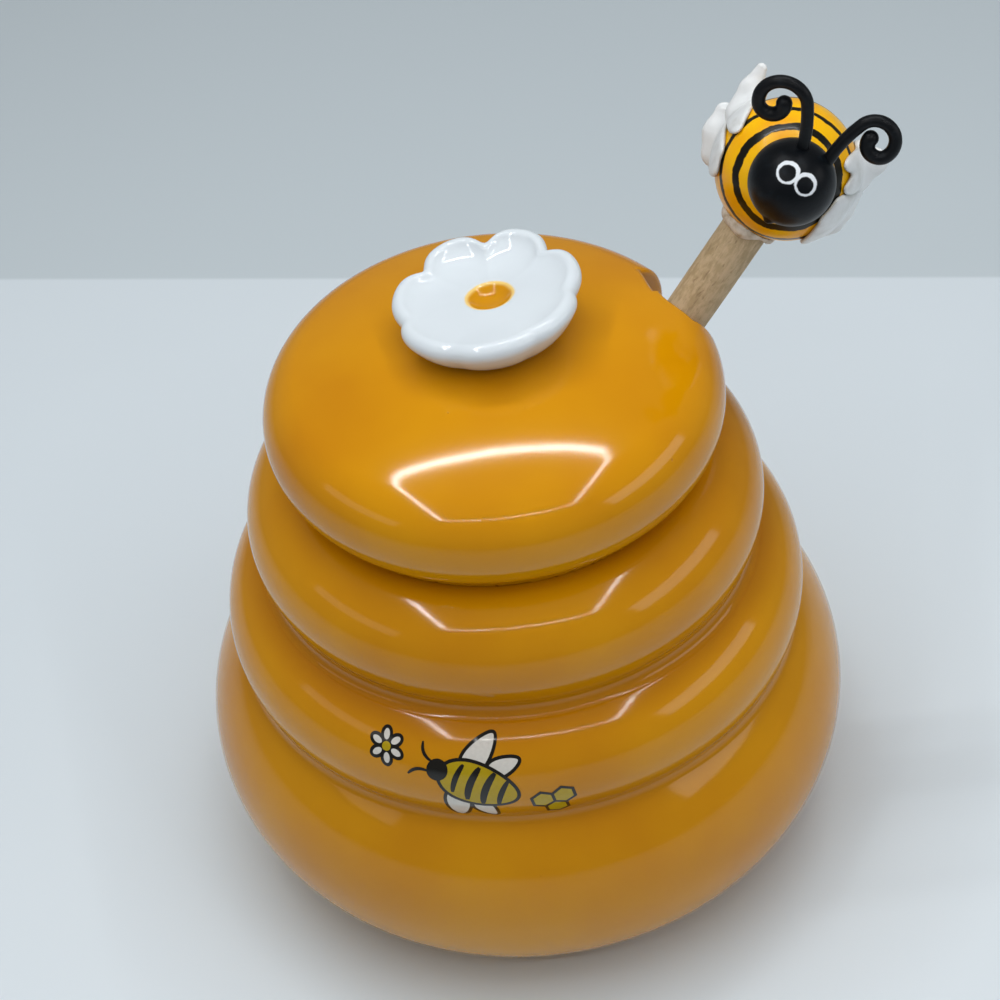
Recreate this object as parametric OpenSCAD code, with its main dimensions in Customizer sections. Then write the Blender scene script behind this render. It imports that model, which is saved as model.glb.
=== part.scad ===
// Honey pot shaped like a coiled straw hive, with a lift-off lid and a wooden
// honey dipper that leans out through a notch in the lid. A bee made of two
// balls, four wings and two curled feelers is glued to the top of the dipper.
// Millimetres. The origin is on the pot's axis in the plane of its foot, +Z is
// up and the front of the pot faces -Y.

/* [Pot] */
// Greatest radius of the pot, at the belly coil
belly_r = 60; // [55:0.5:68]
// Section radius of the belly coil
belly_round = 26.5; // [24:0.5:29]
// Greatest radius of the middle coil
middle_r = 53; // [49:0.5:58]
// Section radius of the middle coil
middle_round = 12.8; // [11.5:0.1:14]
// Height of the middle coil above the belly coil, centre to centre
middle_rise = 27.5; // [25:0.5:30]
// Greatest radius of the top coil of the pot
collar_r = 46.3; // [43:0.1:51]
// Section radius of the top coil of the pot
collar_round = 12; // [11:0.1:13]
// Height of the top coil above the middle coil, centre to centre
collar_rise = 21.5; // [19:0.5:23]
// Radius of the soft valley between two coils
valley_round = 2.5; // [1.5:0.1:4]
// Thickness of the pot's wall
pot_wall = 4.5; // [3.5:0.1:6]
// Inner radius of the mouth
mouth_r = 30.5; // [28:0.1:32]
// Rounding of the mouth's inner edge
mouth_edge = 1; // [0.5:0.1:2]
// Radius of the flat foot
foot_r = 38; // [34:0.5:42]
// Height of the foot below the belly coil
foot_lift = 0.5; // [0.2:0.1:1.5]

/* [Lid] */
// Greatest radius of the lid
lid_r = 40.1; // [37:0.1:44]
// Section radius of the coil that forms the lid's edge
lid_round = 10; // [9:0.1:11]
// Height of the lid's crown above the centre of its edge coil
crown_h = 15; // [12:0.5:18]
// Radius of the flat ring that sits on the pot
lid_seat_r = 35; // [33.5:0.1:36]
// Thickness of the lid's wall
lid_wall = 4.5; // [3.5:0.1:5.5]
// Height of the locating flange under the lid
flange_h = 4; // [2.5:0.5:7]
// Thickness of the locating flange
flange_t = 3.6; // [2.5:0.1:4.5]
// Gap between the flange and the mouth
flange_gap = 0.8; // [0.4:0.1:1.5]
// Gap between the notch's near wall and the dipper's handle
notch_gap = 2.2; // [0.8:0.1:3]
// Gap between the notch's far wall and the dipper's handle
notch_back_gap = 6; // [4:0.1:8]
// Gap between the notch's inner end and the dipper's handle
notch_end_gap = 3.6; // [2:0.1:4]
// Width of the straight middle of the notch's rounded inner end
notch_flat = 1; // [0.5:0.5:6]
// Rounding of the notch's two corners at the lid's edge
notch_corner = 7; // [2:0.5:9]

/* [Flower knob] */
// Number of petals
petal_count = 7; // [5:1:9]
// Radius of the flower at the tip of a petal
petal_r = 16.4; // [14:0.1:19]
// Radius of the flower between two petals
petal_notch_r = 14; // [12:0.1:16]
// Rounding of the petals' thick edge
petal_edge = 1.5; // [1:0.1:2]
// Height of the petals' edge above the floor of the flower
petal_rise = 2.6; // [1.5:0.1:4]
// Depth of the flower's body below its floor
cup_depth = 5.5; // [4.5:0.1:6]
// Height of the flower's floor above the lid
knob_h = 7.4; // [6.8:0.1:9]
// Radius of the pedestal under the flower
pedestal_r = 10; // [8:0.1:11]
// Radius of the coloured hollow at the flower's centre
eye_r = 3.8; // [2.5:0.1:5]
// Depth of the coloured hollow
eye_depth = 1.6; // [0.8:0.1:2.5]
// Distance of the flower from the lid's centre
flower_shift = 2.6; // [0:0.1:4]
// Bearing of the flower from the lid's centre, from +X towards +Y
flower_shift_az = 55; // [0:5:355]
// Tilt of the flower on the lid
flower_tilt = 9; // [0:1:12]
// Bearing of the low side of the flower, from +X towards +Y
flower_tilt_az = 130; // [0:5:355]
// Bearing of one gap between two petals
petal_gap_az = 88; // [0:1:359]

/* [Dipper] */
// Bearing of the dipper and of the lid's notch, from +X towards +Y
dipper_az = 17.4; // [0:0.1:60]
// Greatest diameter of the grooved head
dipper_d = 22; // [18:0.5:24]
// Number of ridges on the head
ridge_count = 7; // [5:1:8]
// Thickness of one ridge
ridge_t = 2.2; // [1.6:0.1:2.8]
// Width of the groove between two ridges
groove_w = 2; // [1.5:0.1:2.5]
// Diameter at the bottom of the grooves
core_d = 10; // [8:0.5:12]
// Diameter of the handle just above the head
neck_d = 6.8; // [5.5:0.1:7.5]
// Diameter of the handle at its top end
handle_d = 8.1; // [7.6:0.1:9]
// Distance from the end of the head to the centre of the bee's body
dipper_reach = 150; // [142:1:160]
// How far the head's lowest edge lies inside the centre of the belly coil
foot_inset = 2.5; // [1:0.5:8]
// Gap where the dipper rests on the pot
rest_gap = 0.3; // [0.2:0.05:0.6]

/* [Bee] */
// Diameter of the bee's body
body_d = 24.4; // [22:0.1:27]
// Depth of the handle's socket in the body
socket_depth = 8; // [5:0.5:11]
// Gap filled with glue round the handle and the feelers
glue_gap = 0.1; // [0.05:0.05:0.3]
// Width of the collar of glue round the handle
glue_w = 1.8; // [1:0.1:2.5]
// Turn of the bee round the dipper's handle
bee_turn = -133; // [-180:1:180]
// Diameter of the bee's head
face_d = 14.5; // [12:0.1:17]
// Distance from the body's centre to the head's centre
face_reach = 16.4; // [14:0.1:18]
// Turn of the head to the side
face_yaw = 7.5; // [-20:0.5:20]
// Lift of the head towards the top of the bee
face_pitch = 10; // [-10:0.5:25]
// Radius of the nub at the chin
nub_r = 0.9; // [0.6:0.1:1.4]
// Thickness of the feelers
feeler_d = 2.2; // [1.6:0.1:2.6]
// Depth of the feelers' sockets in the head
feeler_socket = 2.5; // [1.5:0.1:3.5]
// Lean of the left feeler's root to its side
left_root = 17; // [10:1:30]
// Lean of the left feeler's root towards the face
left_fore = 30; // [10:1:45]
// Lean of the left feeler's stem to its side
left_stem = 19; // [5:1:30]
// Lean of the right feeler's root to its side
right_root = 22; // [10:1:30]
// Lean of the right feeler's root towards the face
right_fore = 17; // [10:1:45]
// Lean of the right feeler's stem to its side
right_stem = -2; // [-10:1:30]
// Thickness of the wings
wing_t = 2.6; // [1.8:0.1:3.5]
// Distance of the upper wings behind the centre of the body
wing_back = 3; // [1:0.5:5]
// Distance of the lower wings behind the upper ones
wing_step = 2; // [1.8:0.1:3]

/* [Hidden] */

// Smoothness of the revolved solids
$fn = 96;
// A length that reaches past any part
far = 3 * belly_r;

// Glazes, wood and paints
honey_glaze = [0.80, 0.55, 0.03];
white_glaze = [0.93, 0.94, 0.95];
beech = [0.76, 0.66, 0.50];
glue_white = [0.86, 0.83, 0.78];
bee_yellow = [0.95, 0.70, 0.04];
bee_black = [0.04, 0.05, 0.07];

// The coils' centres, as [radius, height]
belly_c = [belly_r - belly_round, belly_round + foot_lift];
middle_c = [middle_r - middle_round, belly_c[1] + middle_rise];
collar_c = [collar_r - collar_round, middle_c[1] + collar_rise];
floor_z = foot_lift + pot_wall;

// The plane where the lid sits, a little below the top of the collar coil
seat_cut = 0.1;
seat_z = collar_c[1] + collar_round - seat_cut;

// The lid's edge coil and the sphere of its crown, which touch smoothly
lid_cut = 0.2;
lid_c = [lid_r - lid_round, seat_z + lid_round + lid_cut];
crown_r = (pow(lid_c[0], 2) + pow(crown_h, 2) - pow(lid_round, 2)) / (2 * (crown_h - lid_round));
crown_cz = lid_c[1] + crown_h - crown_r;
flange_r = mouth_r - flange_gap;
lid_mouth_r = flange_r - flange_t;

// The flat land on the crown that carries the flower
land_rim = 0.5;
land_r = pedestal_r + flower_shift + land_rim;
land_z = crown_cz + sqrt(pow(crown_r, 2) - pow(land_r, 2));

// The dipper leans from the floor, past the mouth's edge, through the notch.
// Its axis lies in one plane with the pot's axis, and x is measured there.
ridge_pitch = ridge_t + groove_w;
head_l = ridge_count * ridge_pitch - groove_w;
// How round the head is along its length: 0 is a cylinder and 1 a full ellipse
head_crown = 0.62;
function ridge_z(i) = ridge_t / 2 + i * ridge_pitch;
function ridge_r(i) = dipper_d / 2 * sqrt(1 - pow(head_crown * (2 * ridge_z(i) / head_l - 1), 2));
rest_pt = [-(belly_c[0] - foot_inset), floor_z + rest_gap + ridge_t / 2];
rest_r = ridge_r(0) - ridge_t / 2;
edge_pt = [mouth_r, seat_z];
edge_r = handle_d / 2 + rest_gap;
rise = edge_pt - rest_pt;
dipper_tilt = atan2(rise[0], rise[1]) + asin((rest_r - edge_r) / norm(rise));
dipper_end = rest_pt + rest_r * [-cos(dipper_tilt), sin(dipper_tilt)]
             - ridge_z(0) * [sin(dipper_tilt), cos(dipper_tilt)];
notch_w = handle_d + notch_gap + notch_back_gap;
notch_shift = (notch_back_gap - notch_gap) / 2;
notch_end = handle_d / 2 + notch_end_gap;
notch_round = (notch_w - notch_flat) / 2;

body_r = body_d / 2;
face_r = face_d / 2;

// Centre of a circle of radius r that touches two circles from the outside
function valley_centre(a, ra, b, rb, r) =
    let (d = norm(b - a), u = (b - a) / d, qa = ra + r, qb = rb + r,
         x = (d * d + qa * qa - qb * qb) / (2 * d))
    a + x * u + sqrt(qa * qa - x * x) * [u[1], -u[0]];

// Points of a curve from a to c that leaves and arrives towards b
function bend(a, b, c, n) = [for (i = [0:n]) let (t = i / n)
    (1 - t) * (1 - t) * a + 2 * t * (1 - t) * b + t * t * c];

// Half section of the soft valley between two coils, drawn inset by the wall
module valley(a, ra, b, rb, inset) {
    c = valley_centre(a, ra, b, rb, valley_round);
    difference() {
        polygon([a, c, b]);
        translate(c) circle(r = valley_round + inset);
    }
}

// Half section of the coiled body, drawn inset by the wall
module coils(inset) {
    translate(belly_c) circle(r = belly_round - inset);
    translate(middle_c) circle(r = middle_round - inset);
    translate(collar_c) circle(r = collar_round - inset);
    valley(belly_c, belly_round, middle_c, middle_round, inset);
    valley(middle_c, middle_round, collar_c, collar_round, inset);
    polygon([[0, foot_lift + inset], [belly_c[0], foot_lift + inset], belly_c, middle_c,
             collar_c, [0, collar_c[1]]]);
}

module pot() {
    color(honey_glaze)
    rotate_extrude() difference() {
        union() {
            intersection() {
                union() {
                    coils(0);
                    square([collar_c[0], seat_z]);
                }
                square([belly_r, seat_z]);
            }
            square([foot_r, floor_z]);
        }
        coils(pot_wall);
        translate([0, collar_c[1]]) square([mouth_r, far]);
        translate([mouth_r, seat_z]) mouth_rounding();
    }
}

// What is cut from the mouth's inner edge to round it
module mouth_rounding() {
    translate([0, -mouth_edge]) difference() {
        square([mouth_edge, 2 * mouth_edge]);
        translate([mouth_edge, 0]) circle(r = mouth_edge);
    }
}

// Half section of the lid's outer form, drawn inset by its wall
module lid_form(inset) {
    lean = atan2(lid_c[0], lid_c[1] - crown_cz);
    translate(lid_c) circle(r = lid_round - inset);
    intersection() {
        translate([0, crown_cz]) circle(r = crown_r - inset, $fn = 4 * $fn);
        polygon([[0, lid_c[1]], [lid_c[0], lid_c[1]],
                 [0, crown_cz] + 2 * crown_r * [sin(lean), cos(lean)],
                 [0, crown_cz + 2 * crown_r]]);
    }
}

// The slot that the dipper's handle needs
module notch() {
    at_dipper() translate([-notch_end, notch_shift]) linear_extrude(far) {
        for (side = [-1, 1])
            translate([notch_round, side * (notch_w / 2 - notch_round)]) circle(r = notch_round);
        translate([notch_round, -notch_w / 2]) square([far, notch_w]);
        translate([0, notch_round - notch_w / 2]) square([far, notch_w - 2 * notch_round]);
    }
}

// What is cut from the notch's corners at the lid's edge to round them
module notch_corners() {
    rotate([0, 0, dipper_az]) translate([0, notch_shift, seat_z]) linear_extrude(far)
    for (side = [0, 1]) mirror([0, side]) translate([lid_r - notch_corner, notch_w / 2])
    difference() {
        square([far, notch_corner]);
        translate([0, notch_corner]) circle(r = notch_corner);
    }
}

module lid() {
    color(honey_glaze)
    difference() {
        rotate_extrude() difference() {
            union() {
                lid_form(0);
                translate([0, seat_z]) square([lid_seat_r, lid_c[1] - seat_z]);
                translate([0, seat_z - flange_h]) square([flange_r, flange_h + lid_c[1] - seat_z]);
            }
            translate([0, land_z]) square([lid_r, far]);
            lid_form(lid_wall);
            translate([0, seat_z - flange_h]) square([lid_mouth_r, flange_h + lid_c[1] - seat_z]);
        }
        notch();
        notch_corners();
    }
}

// Half width of a petal's outline, 0 at a gap and 1 at the middle of a petal
function petal(az) = pow(abs(sin(petal_count / 2 * (az - petal_gap_az))), 0.6);

// Section of the flower in the direction az, from its centre out and back
function flower_section(az) =
    let (r = petal_notch_r + (petal_r - petal_notch_r) * petal(az) - petal_edge,
         h = petal_rise - petal_edge + 0.6 * petal(az))
    concat([[0.55 * eye_r, -eye_depth], [eye_r, -0.3 * eye_depth]],
           bend([eye_r + 0.7, 0], [0.85 * r, -0.2], [r, h] + petal_edge * [cos(150), sin(150)], 4),
           [for (a = [115:-40:-45]) [r, h] + petal_edge * [cos(a), sin(a)]],
           bend([r, h] + petal_edge * [cos(-60), sin(-60)], [0.98 * r, -0.85 * cup_depth],
                [pedestal_r, -cup_depth], 4));

// The flower's cup, with its floor at height 0
module flower_cup() {
    steps = 12 * petal_count;
    rings = [for (i = [0:steps - 1]) flower_section(360 * i / steps)];
    m = len(rings[0]);
    points = concat([[0, 0, -eye_depth], [0, 0, -cup_depth]],
                    [for (i = [0:steps - 1]) for (p = rings[i])
                        [p[0] * cos(360 * i / steps), p[0] * sin(360 * i / steps), p[1]]]);
    function at(i, j) = 2 + (i % steps) * m + j;
    polyhedron(points, concat(
        [for (i = [0:steps - 1]) [0, at(i + 1, 0), at(i, 0)]],
        [for (i = [0:steps - 1]) [1, at(i, m - 1), at(i + 1, m - 1)]],
        [for (i = [0:steps - 1]) for (j = [0:m - 2]) each
            [[at(i, j), at(i + 1, j + 1), at(i, j + 1)], [at(i, j), at(i + 1, j), at(i + 1, j + 1)]]]));
}

module flower_knob() {
    color(white_glaze)
    rotate([0, 0, flower_shift_az]) translate([flower_shift, 0, land_z])
    rotate([0, 0, -flower_shift_az]) {
        cylinder(h = knob_h - cup_depth / 2, r = pedestal_r);
        translate([0, 0, knob_h]) rotate([0, 0, flower_tilt_az]) rotate([0, flower_tilt, 0])
        rotate([0, 0, -flower_tilt_az]) flower_cup();
    }
}

// Places its children on the dipper: +Z runs up the handle from the head's end
module at_dipper() {
    rotate([0, 0, dipper_az]) translate([dipper_end[0], 0, dipper_end[1]])
    rotate([0, dipper_tilt, 0]) children();
}

module dipper() {
    top = dipper_reach - body_r + socket_depth;
    color(beech)
    at_dipper() rotate_extrude() {
        for (i = [0:ridge_count - 1]) {
            translate([0, ridge_z(i) - ridge_t / 2]) square([ridge_r(i) - ridge_t / 2, ridge_t]);
            translate([ridge_r(i) - ridge_t / 2, ridge_z(i)]) circle(d = ridge_t, $fn = 32);
        }
        square([core_d / 2, head_l]);
        polygon([[0, head_l], [core_d / 2, head_l], [neck_d / 2, head_l + core_d / 2],
                 [handle_d / 2, dipper_reach - 2 * body_r], [handle_d / 2, top], [0, top]]);
    }
}

// Places its children on the bee: origin at the body's centre, +Z up the
// handle, +X out of the bee's face and +Y to the right of one who looks at it
module at_bee() {
    at_dipper() translate([0, 0, dipper_reach]) rotate([0, 0, bee_turn]) children();
}

module glue_collar() {
    r = handle_d / 2;
    color(glue_white)
    at_dipper() translate([0, 0, dipper_reach]) rotate_extrude() difference() {
        polygon([[r, -body_r - glue_w / 2], [r + glue_w, -sqrt(pow(body_r, 2) - pow(r + glue_w, 2))],
                 [r, -body_r / 2]]);
        circle(r = body_r);
    }
}

module bee_body() {
    color(bee_yellow)
    at_bee() difference() {
        sphere(r = body_r);
        translate([0, 0, -far]) cylinder(h = far - body_r + socket_depth, d = handle_d + 2 * glue_gap);
    }
}

// Places its children on the head, with +X out of the face
module at_face() {
    at_bee() rotate([0, -face_pitch, face_yaw]) translate([face_reach, 0, 0]) children();
}

module bee_head() {
    color(bee_black)
    difference() {
        at_face() rotate([0, 90, 0]) {
            sphere(r = face_r);
            rotate([0, 82, 0]) translate([0, 0, face_r - 0.3]) rotate([0, 90, 0]) sphere(r = nub_r);
        }
        at_bee() rotate([0, 90 - face_pitch, face_yaw]) sphere(r = body_r);
        for (f = [left_feeler, right_feeler]) at_feeler(f)
        translate([0, 0, -feeler_socket]) cylinder(h = 2 * feeler_socket, d = feeler_d + 2 * glue_gap);
    }
}

// A feeler as [side, lean of its root to the side, lean of its root towards the
// face, lean of its stem to the side], and its arcs, each [radius, angle]
left_feeler = [-1, left_root, left_fore, left_stem];
right_feeler = [1, right_root, right_fore, right_stem];
left_arcs = [[30, 15], [4, 180], [2.1, 180]];
right_arcs = [[23, 20], [3.3, 180], [2, 170]];

// Places its children at the root of a feeler: +Z along its stem and +X
// towards the side that it curls to
module at_feeler(f) {
    at_face() rotate([-f[0] * f[1], f[2], 0]) translate([0, 0, face_r])
    rotate([f[0] * (f[1] - f[3]), 0, 0]) rotate([0, 0, f[0] * 90]) children();
}

// Stations along the arcs from number i on, each [x, z, heading]: the line starts
// at p with heading h, and every arc goes on where the last one ends
function feeler_line(arcs, i, p, h) =
    i == len(arcs) ? [] :
    let (r = arcs[i][0], turn = arcs[i][1], steps = ceil(turn / 15), c = p + r * [cos(h), -sin(h)])
    concat([for (k = [1:steps]) let (g = h + turn * k / steps) concat(c - r * [cos(g), -sin(g)], g)],
           feeler_line(arcs, i + 1, c - r * [cos(h + turn), -sin(h + turn)], h + turn));

// One feeler: a bent stem that ends in a curl of ever tighter arcs and a round tip
module feeler(f, arcs) {
    r = feeler_d / 2;
    sides = 16;
    line = concat([[0, -feeler_socket, 0], [0, 0, 0]], feeler_line(arcs, 0, [0, 0], 0));
    end = line[len(line) - 1];
    stations = concat([for (s = line) concat(s, r)],
                      [for (b = [30:25:80]) [end[0] + r * sin(b) * sin(end[2]),
                                             end[1] + r * sin(b) * cos(end[2]), end[2], r * cos(b)]]);
    points = [for (s = stations) for (k = [0:sides - 1]) let (a = 360 * k / sides)
        [s[0] + s[3] * cos(a) * cos(s[2]), s[3] * sin(a), s[1] - s[3] * cos(a) * sin(s[2])]];
    last = (len(stations) - 1) * sides;
    function at(i, k) = i * sides + k % sides;
    color(bee_black)
    at_feeler(f) polyhedron(points, concat(
        [[for (k = [0:sides - 1]) k], [for (k = [sides - 1:-1:0]) last + k]],
        [for (i = [0:len(stations) - 2]) for (k = [0:sides - 1]) each
            [[at(i, k), at(i + 1, k), at(i + 1, k + 1)], [at(i, k), at(i + 1, k + 1), at(i, k + 1)]]]));
}

module antenna_left() { feeler(left_feeler, left_arcs); }
module antenna_right() { feeler(right_feeler, right_arcs); }

// One wing: a flat lobed form through the points, each [side, height, radius],
// seated on the round of the body at a distance behind its centre
module wing(lobes, back) {
    color(white_glaze)
    at_bee() difference() {
        translate([-back, 0, 0]) scale([wing_t / (2 * max([for (p = lobes) p[2]])), 1, 1])
        hull() for (p = lobes) translate([0, p[0], p[1]]) sphere(r = p[2], $fn = 24);
        sphere(r = body_r);
    }
}

upper_lobes = [[9, 3, 2.2], [11.6, 7.4, 2.6], [13, 11, 1.9]];
lower_lobes = [[9, -1, 3], [12, 0.4, 3.2], [10.8, -4, 3]];
function other_side(lobes) = [for (p = lobes) [-p[0], p[1], p[2]]];

module wing_upper_left() { wing(other_side(upper_lobes), wing_back); }
module wing_lower_left() { wing(other_side(lower_lobes), wing_back + wing_step); }
module wing_upper_right() { wing(upper_lobes, wing_back); }
module wing_lower_right() { wing(lower_lobes, wing_back + wing_step); }

pot();
lid();
flower_knob();
dipper();
glue_collar();
bee_body();
bee_head();
antenna_left();
antenna_right();
wing_upper_left();
wing_lower_left();
wing_upper_right();
wing_lower_right();
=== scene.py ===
"""Looks of a coiled honey pot with a lift-off lid, a flower knob, a honey dipper and a bee."""

import logging
import math
from dataclasses import dataclass, field
from enum import Enum
from typing import Callable, Mapping, Optional, Sequence, Union

import bpy
import numpy as np
from mathutils import Matrix, Vector


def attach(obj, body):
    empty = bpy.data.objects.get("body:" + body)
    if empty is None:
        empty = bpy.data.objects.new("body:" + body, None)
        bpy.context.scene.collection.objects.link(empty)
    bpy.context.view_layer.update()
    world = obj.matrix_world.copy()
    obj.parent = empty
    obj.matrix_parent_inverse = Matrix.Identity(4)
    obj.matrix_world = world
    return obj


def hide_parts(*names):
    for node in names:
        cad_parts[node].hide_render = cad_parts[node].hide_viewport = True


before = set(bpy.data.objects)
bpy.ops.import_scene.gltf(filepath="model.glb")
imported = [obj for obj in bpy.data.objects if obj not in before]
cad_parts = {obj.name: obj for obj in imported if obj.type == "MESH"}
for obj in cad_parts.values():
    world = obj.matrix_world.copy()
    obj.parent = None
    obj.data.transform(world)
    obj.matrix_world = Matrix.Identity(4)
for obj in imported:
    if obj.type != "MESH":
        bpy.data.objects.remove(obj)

LOG = logging.getLogger("honey_pot")
MM = 0.001
Colour = tuple[float, float, float]
Field = Callable[[np.ndarray], np.ndarray]
Value = Union["Signal", float]


class Body(Enum):
    """The bodies that pieces ride on."""

    POT = "pot"
    LID = "lid"
    DIPPER = "dipper"


def srgb(red: float, green: float, blue: float) -> Colour:
    """A colour written as it looks on a screen, 0 to 255, as linear light."""
    parts = [value / 255 for value in (red, green, blue)]
    return tuple(p / 12.92 if p <= 0.04045 else ((p + 0.055) / 1.055) ** 2.4 for p in parts)


@dataclass(frozen=True)
class Signal:
    """An output socket that takes part in shader maths."""

    kit: "Kit"
    socket: bpy.types.NodeSocket

    def _math(self, operation: str, *values: Value) -> "Signal":
        """Adds one Math node on the given values."""
        return self.kit.node("ShaderNodeMath", {"operation": operation}, dict(enumerate(values)))

    def __add__(self, other: Value) -> "Signal":
        """Sum of two values."""
        return self._math("ADD", self, other)

    def __radd__(self, other: float) -> "Signal":
        """Sum with a plain number first."""
        return self._math("ADD", other, self)

    def __sub__(self, other: Value) -> "Signal":
        """Difference of two values."""
        return self._math("SUBTRACT", self, other)

    def __rsub__(self, other: float) -> "Signal":
        """Difference with a plain number first."""
        return self._math("SUBTRACT", other, self)

    def __mul__(self, other: Value) -> "Signal":
        """Product of two values."""
        return self._math("MULTIPLY", self, other)

    def __rmul__(self, other: float) -> "Signal":
        """Product with a plain number first."""
        return self._math("MULTIPLY", other, self)

    def __truediv__(self, other: Value) -> "Signal":
        """Quotient of two values."""
        return self._math("DIVIDE", self, other)

    def __rtruediv__(self, other: float) -> "Signal":
        """Quotient with a plain number first."""
        return self._math("DIVIDE", other, self)

    def __abs__(self) -> "Signal":
        """Size of a value without its sign."""
        return self._math("ABSOLUTE", self)

    def most(self, other: Value) -> "Signal":
        """The larger of two values."""
        return self._math("MAXIMUM", self, other)

    def turn(self) -> "Signal":
        """The angle in radians whose cosine this is."""
        return self._math("ARCCOSINE", self)

    def rise(self, low: float, high: float) -> "Signal":
        """Runs smoothly from 0 at low to 1 at high.

        Args:
            low: value at which the result is 0.
            high: value at which the result is 1.

        Returns:
            The eased signal.
        """
        return self.kit.node(
            "ShaderNodeMapRange",
            {"interpolation_type": "SMOOTHSTEP"},
            {"Value": self, "From Min": low, "From Max": high},
        )


class Kit:
    """Builds the nodes of one material."""

    def __init__(self, name: str, coat: float = 0.0, ior: float = 1.5) -> None:
        """Starts a material.

        Args:
            name: name of the material.
            coat: weight of a clear coat over it.
            ior: index of refraction of its surface.
        """
        self.material = bpy.data.materials.new(name)
        self.material.use_nodes = True
        self.tree = self.material.node_tree
        self.shader = self.tree.nodes["Principled BSDF"]
        self.put("Coat Weight", coat)
        self.put("Coat Roughness", 0.06)
        self.put("IOR", ior)
        self.point = self.node("ShaderNodeTexCoord", {}, {}, "Object")

    def feed(self, socket: bpy.types.NodeSocket, value: object) -> None:
        """Links a signal to a socket, or sets the socket's own value."""
        if isinstance(value, Signal):
            self.tree.links.new(value.socket, socket)
        elif socket.type == "RGBA" and len(value) == 3:
            socket.default_value = (*value, 1.0)
        else:
            socket.default_value = value

    def put(self, name: str, value: object) -> None:
        """Sets one of the shader's own sockets."""
        self.feed(self.shader.inputs[name], value)

    def node(
        self,
        kind: str,
        settings: Mapping[str, object],
        inputs: Mapping[Union[str, int], object],
        output: Union[str, int] = 0,
    ) -> Signal:
        """Adds a node of any type.

        Args:
            kind: the node's type.
            settings: its properties, which are set first.
            inputs: values or signals by socket name or number.
            output: the output that is wanted.

        Returns:
            The signal of that output.
        """
        made = self.tree.nodes.new(kind)
        for key, value in settings.items():
            setattr(made, key, value)
        for key, value in inputs.items():
            self.feed(made.inputs[key], value)
        return Signal(self, made.outputs[output])

    def vector(self, operation: str, first: object, second: object, output: int = 0) -> Signal:
        """Adds one Vector Math node on two vectors."""
        return self.node("ShaderNodeVectorMath", {"operation": operation}, {0: first, 1: second}, output)

    def along(self, point: Signal, direction: Sequence[float]) -> Signal:
        """How far a point lies along a direction."""
        return self.vector("DOT_PRODUCT", point, tuple(direction), 1)

    def away(self, centre: np.ndarray) -> Signal:
        """How far the surface is, in metres, from a centre in millimetres."""
        return self.vector("DISTANCE", self.point, tuple(centre * MM), 1)

    def noise(
        self, scale: float, detail: float, rough: float = 0.5, point: Optional[Signal] = None
    ) -> Signal:
        """Cloudy noise from 0 to 1.

        Args:
            scale: waves per metre.
            detail: number of finer layers.
            rough: strength of each finer layer.
            point: where it is read, or nothing for the surface itself.

        Returns:
            The noise.
        """
        return self.node(
            "ShaderNodeTexNoise",
            {"noise_dimensions": "3D"},
            {"Vector": point or self.point, "Scale": scale, "Detail": detail, "Roughness": rough},
        )

    def mix(self, first: object, second: object, factor: object) -> Signal:
        """Blends two colours."""
        return self.node("ShaderNodeMix", {"data_type": "RGBA"}, {0: factor, 6: first, 7: second}, 2)

    def bump(self, height: Signal, depth: float, strength: float) -> None:
        """Raises the surface by a height signal, with its depth in metres."""
        made = self.node("ShaderNodeBump", {}, {"Strength": strength, "Distance": depth, "Height": height})
        self.put("Normal", made)

    def colour(self, value: object) -> None:
        """Sets the base colour."""
        self.put("Base Color", value)

    def roughness(self, value: object) -> None:
        """Sets the roughness."""
        self.put("Roughness", value)


@dataclass(frozen=True)
class Place:
    """A position in space: a turn and an origin, in millimetres."""

    turn: np.ndarray = field(default_factory=lambda: np.eye(3))
    origin: np.ndarray = field(default_factory=lambda: np.zeros(3))

    def out(self, points: np.ndarray) -> np.ndarray:
        """Points given here, in the shared frame."""
        return points @ self.turn.T + self.origin

    def into(self, points: np.ndarray) -> np.ndarray:
        """Points given in the shared frame, here."""
        return (points - self.origin) @ self.turn

    def child(self, turn: np.ndarray, shift: Sequence[float] = (0, 0, 0)) -> "Place":
        """A place that is shifted, then turned, inside this one."""
        return Place(self.turn @ turn, self.out(np.array(shift, float)))


def about(axis: str, degrees: float) -> np.ndarray:
    """The turn by an angle about X, Y or Z."""
    return np.array(Matrix.Rotation(math.radians(degrees), 3, axis))


def ray(degrees: float) -> np.ndarray:
    """Cosine and sine of an angle, as a direction in the plane."""
    return np.array([math.cos(math.radians(degrees)), math.sin(math.radians(degrees))])


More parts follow.
